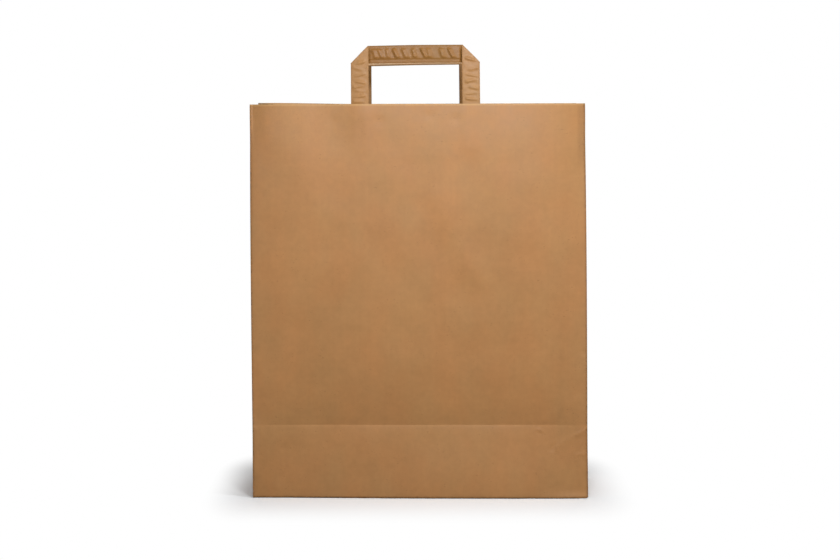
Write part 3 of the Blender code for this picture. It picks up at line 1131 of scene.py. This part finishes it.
studio = {
    "floorSize": 14.0,
    "floorWhite": (0.88, 0.90, 0.92),
    "floorBounce": 0.29,  # what the floor throws back at the bag
    "floorDrop": 0.0002,
    "shadowShare": 0.96,  # of the shaded floor shows beside the bag, the rest is plain white
    "footprint": (0.160, 0.070),  # half of the bag's width and depth
    "shadowReach": (0.050, 0.135),  # how far the shadow shows, sideways and to the front and back
    "sky": 0.155,
}
lamps = {
    "keyLamp": {
        "place": (0.08, -0.68, 0.507), "aim": (0.0, -0.07, 0.37), "size": (0.10, 0.05), "power": 1.95,
    },
    "wideLamp": {
        "place": (-0.05, -0.74, 0.508), "aim": (0.0, -0.07, 0.37), "size": (1.3, 0.05), "power": 3.38,
    },
    "sideLamp": {
        "place": (1.05, -0.80, 1.15), "aim": (0.0, -0.07, 0.30), "size": (0.25, 0.25), "power": 11.5,
    },
    "backLamp": {
        "place": (0.0, 1.6, 0.55), "aim": (0.0, 0.07, 0.2), "size": (1.2, 1.2), "power": 16.0,
    },
    "mouthLamp": {  # shines down into the bag
        "place": (-0.002, 0.0, 0.60), "aim": (-0.002, 0.0, 0.0), "size": (0.14, 0.03), "power": 0.05,
        "spread": 0.42,
    },
}


def backdropRays(tree):  # 1 for rays that should see plain white
    path = addNode(tree, "LightPath")
    seen = mathValue(tree, "MAXIMUM", path.outputs["Is Camera Ray"], path.outputs["Is Glossy Ray"])
    return mathValue(tree, "MAXIMUM", seen, path.outputs["Is Transmission Ray"])


def makeFloor():
    half = studio["floorSize"] / 2
    places = [(-half, -half, 0), (half, -half, 0), (half, half, 0), (-half, half, 0)]
    floor = meshPiece("floor", places, [(0, 1, 2, 3)])
    floor.location.z = -studio["floorDrop"]
    material = bpy.data.materials.new("floorWhite")
    material.use_nodes = True
    tree = material.node_tree
    tree.nodes.clear()
    matte = addNode(tree, "BsdfDiffuse")
    seen = backdropRays(tree)
    white = studio["floorWhite"]
    bounce = studio["floorBounce"]
    grey = mixColour(tree, "MIX", seen, (bounce, bounce, bounce, 1), (*white, 1))
    feed(tree, matte, Color=grey)
    plain = addNode(tree, "Emission")
    spot = addNode(tree, "SeparateXYZ")
    feed(tree, spot, n0=addNode(tree, "NewGeometry").outputs["Position"])
    away = []
    for k in (0, 1):  # distance from the bag's footprint, as a share of the shadow's reach
        offset = mathValue(tree, "ABSOLUTE", spot.outputs[k])
        beyond = mathValue(tree, "SUBTRACT", offset, studio["footprint"][k])
        beyond = mathValue(tree, "MAXIMUM", beyond, 0.0)
        part = mathValue(tree, "DIVIDE", beyond, studio["shadowReach"][k])
        away.append(mathValue(tree, "MULTIPLY", part, part))
    distance = mathValue(tree, "SQRT", mathValue(tree, "ADD", away[0], away[1]))
    clean = remap(tree, distance, 0.0, 1.0, 1 - studio["shadowShare"], 1.0)
    clean.node.interpolation_type = "SMOOTHSTEP"
    share = mathValue(tree, "MULTIPLY", clean, seen)
    mixed = addNode(tree, "MixShader")
    feed(tree, mixed, n0=share, n1=matte.outputs[0], n2=plain.outputs[0])
    output = addNode(tree, "OutputMaterial")
    feed(tree, output, Surface=mixed.outputs[0])
    floor.data.materials.append(material)


def makeLamp(name):
    plan = lamps[name]
    data = bpy.data.lights.new(name, "AREA")
    data.shape = "RECTANGLE"
    data.size, data.size_y = plan["size"]
    data.energy = plan["power"]
    data.spread = plan.get("spread", math.pi)
    lamp = bpy.data.objects.new(name, data)
    scene.collection.objects.link(lamp)
    lamp.location = plan["place"]
    aim = Vector(plan["aim"]) - Vector(plan["place"])
    lamp.rotation_euler = aim.to_track_quat("-Z", "Y").to_euler()
    lamp.visible_camera = False


def makeSky():
    world = bpy.data.worlds.new("studio")
    world.use_nodes = True
    scene.world = world
    tree = world.node_tree
    tree.nodes.clear()
    even = addNode(tree, "Background")
    feed(tree, even, Color=(1, 1, 1, 1), Strength=studio["sky"])
    white = addNode(tree, "Background")
    feed(tree, white, Color=(1, 1, 1, 1), Strength=1.0)
    mixed = addNode(tree, "MixShader")
    feed(tree, mixed, n0=backdropRays(tree), n1=even.outputs[0], n2=white.outputs[0])
    output = addNode(tree, "OutputWorld")
    feed(tree, output, Surface=mixed.outputs[0])


makeFloor()
for name in lamps:
    makeLamp(name)
makeSky()
scene.view_settings.view_transform = "Standard"
print("studio lit")
